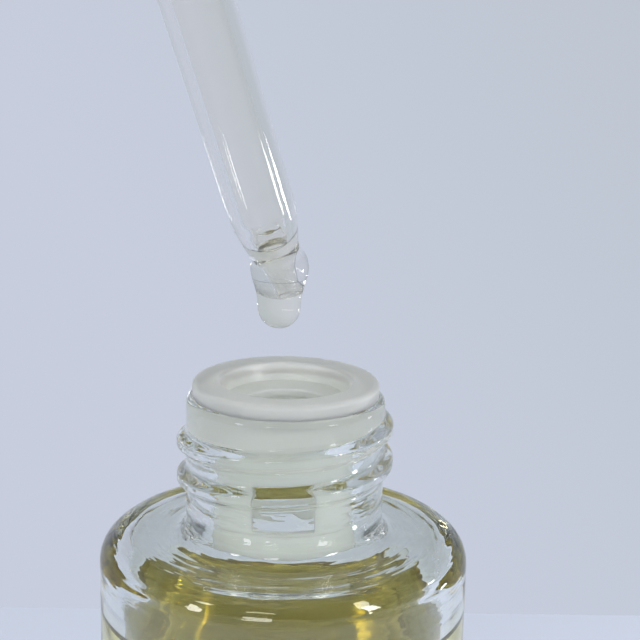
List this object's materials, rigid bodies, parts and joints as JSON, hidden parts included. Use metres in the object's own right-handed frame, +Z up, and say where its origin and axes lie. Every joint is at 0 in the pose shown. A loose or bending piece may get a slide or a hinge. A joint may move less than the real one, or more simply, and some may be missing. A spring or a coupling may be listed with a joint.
{
  "type": "dropper bottle",
  "caption": "Round clear glass bottle with flat shoulder, screw neck and wiper insert, and a ball-tip glass dropper with screw cap and rubber bulb held above it, a drop on its tip.",
  "frame": {"origin": "centre of the bottle's flat underside", "axes": "+Z up along the bottle's axis; the dropper's bulb leans towards -Y and a little towards -X"},
  "size_m": [0.0445, 0.0571, 0.1622],
  "materials": {
    "bottle_glass": "clear moulded flint glass",
    "insert_plastic": "natural milky polyethylene",
    "liquid": "clear, faintly golden liquid",
    "pipette_glass": "clear drawn glass tube",
    "cap_plastic": "moulded white polypropylene",
    "bulb_rubber": "soft off-white rubber"
  },
  "bodies": {
    "bottle": {"bottle": "bottle_glass", "neck_insert": "insert_plastic"},
    "drop": {"hanging_drop": "liquid"},
    "dropper": {"pipette": "pipette_glass"},
    "cap": {"cap": "cap_plastic"},
    "bulb": {"bulb": "bulb_rubber"}
  },
  "joints": [
    {"name": "dropper_lift", "type": "slide", "parent": "bottle", "child": "drop", "axis": [0, 0, 1], "range_m": [0, 0.1]},
    {"name": "dropper_tilt", "type": "hinge", "parent": "drop", "child": "dropper", "pos_m": [-0.0007, 0.0005, 0.0813], "axis": [-0.8572, 0.515, 0], "range_deg": [0, 28.5]},
    {"name": "cap_turn", "type": "hinge", "parent": "dropper", "child": "cap", "pos_m": [-0.0007, 0.0005, 0.0813], "axis": [-0.2458, -0.409, 0.8788], "continuous": true},
    {"name": "bulb_squeeze", "type": "slide", "parent": "dropper", "child": "bulb", "axis": [0.8572, -0.515, 0], "range_m": [0, 0.004], "stiffness_N_per_m": 400, "deforming": ["bulb"]}
  ]
}
